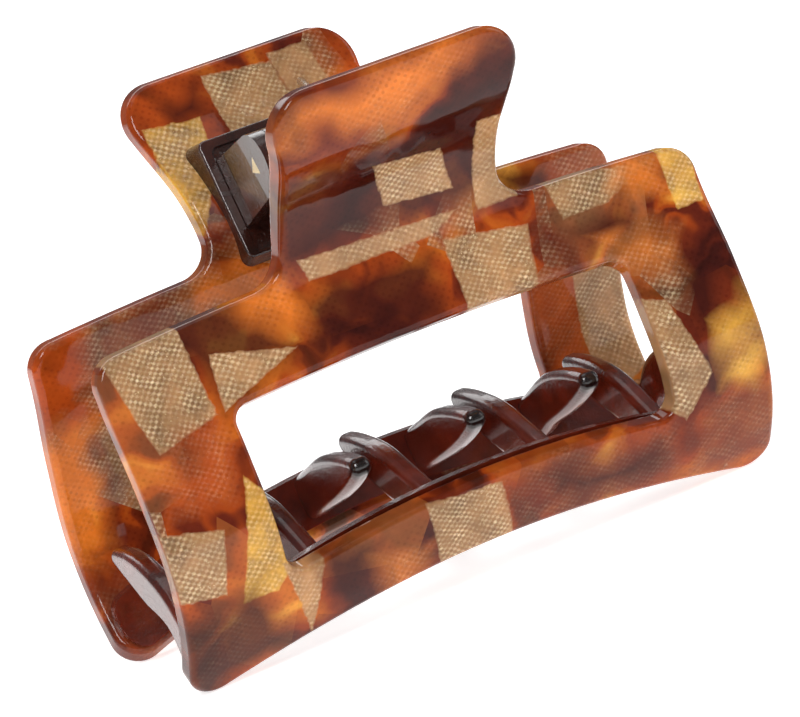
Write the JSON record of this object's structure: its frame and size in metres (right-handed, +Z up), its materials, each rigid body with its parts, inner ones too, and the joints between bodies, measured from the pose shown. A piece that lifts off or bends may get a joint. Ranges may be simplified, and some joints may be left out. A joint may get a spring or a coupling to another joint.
{
  "type": "hair claw clip",
  "caption": "Large rectangular hair claw clip: two bent, windowed plates with finger tabs, toothed strips inside, hinged on a pin and held shut by a torsion spring.",
  "frame": {"origin": "on the ground plane under the middle of the clip, halfway between the two plates, where the lower corners of the jaws stand", "axes": "+X along the hinge pin and the width of the clip, +Y from the front plate towards the rear plate, +Z up from the teeth to the finger tabs"},
  "size_m": [0.088, 0.0554, 0.0703],
  "materials": {
    "tortoiseshell_acetate": "polished amber and red-brown acetate with a woven metallic fleck",
    "bracket_plastic": "glossy moulded, very dark brown",
    "tooth_plastic": "glossy moulded, dark red-brown",
    "pin_brass": "plain drawn brass",
    "spring_wire": "bright spring steel wire"
  },
  "bodies": {
    "front_jaw": {"front_plate": "tortoiseshell_acetate", "front_hinge_bracket": "bracket_plastic", "front_tooth_strip": "tooth_plastic", "torsion_spring": "spring_wire"},
    "rear_jaw": {"rear_plate": "tortoiseshell_acetate", "rear_hinge_bracket": "bracket_plastic", "rear_tooth_strip": "tooth_plastic", "hinge_pin": "pin_brass"}
  },
  "joints": [
    {"name": "jaw_hinge", "type": "hinge", "parent": "front_jaw", "child": "rear_jaw", "pos_m": [0, 0, 0.05878], "axis": [1, 0, 0], "range_deg": [0, 70], "stiffness_Nm_per_rad": 0.15, "springref_deg": -34.38, "deforming": ["torsion_spring"]}
  ]
}
